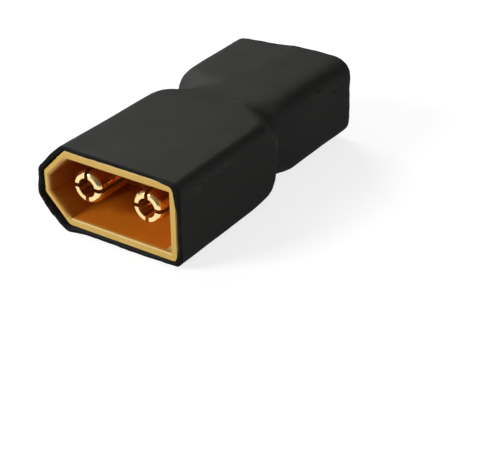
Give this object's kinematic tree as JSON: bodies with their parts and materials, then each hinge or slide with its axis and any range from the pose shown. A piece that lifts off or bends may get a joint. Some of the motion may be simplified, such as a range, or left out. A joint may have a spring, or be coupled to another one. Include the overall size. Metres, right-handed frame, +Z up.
{
  "type": "battery connector adapter",
  "caption": "Rigid battery connector adapter: shrouded two-pin end joined to a tee-slot socket end under one black heat-shrink sleeve.",
  "frame": {"origin": "under the middle of the adapter, on the surface that its broad side lies on", "axes": "+X across it towards the positive side, +Y along it from the pin mouth to the socket face, +Z up"},
  "size_m": [0.0168, 0.032, 0.0091],
  "materials": {
    "yellow_nylon": "moulded nylon, satin, warm yellow",
    "red_nylon": "moulded nylon, matt, brick red",
    "gold_plated_brass": "bright gold plating",
    "spring_steel": "plain rolled strip",
    "solder": "dull tin solder",
    "black_heat_shrink": "black polyolefin heat shrink, satin"
  },
  "bodies": {
    "root": {"pin_housing": "yellow_nylon", "positive_pin": "gold_plated_brass", "negative_pin": "gold_plated_brass", "socket_housing": "red_nylon", "positive_contact": "gold_plated_brass", "negative_contact": "gold_plated_brass", "positive_spring": "spring_steel", "negative_spring": "spring_steel", "positive_solder": "solder", "negative_solder": "solder", "heat_shrink_sleeve": "black_heat_shrink"}
  },
  "joints": []
}
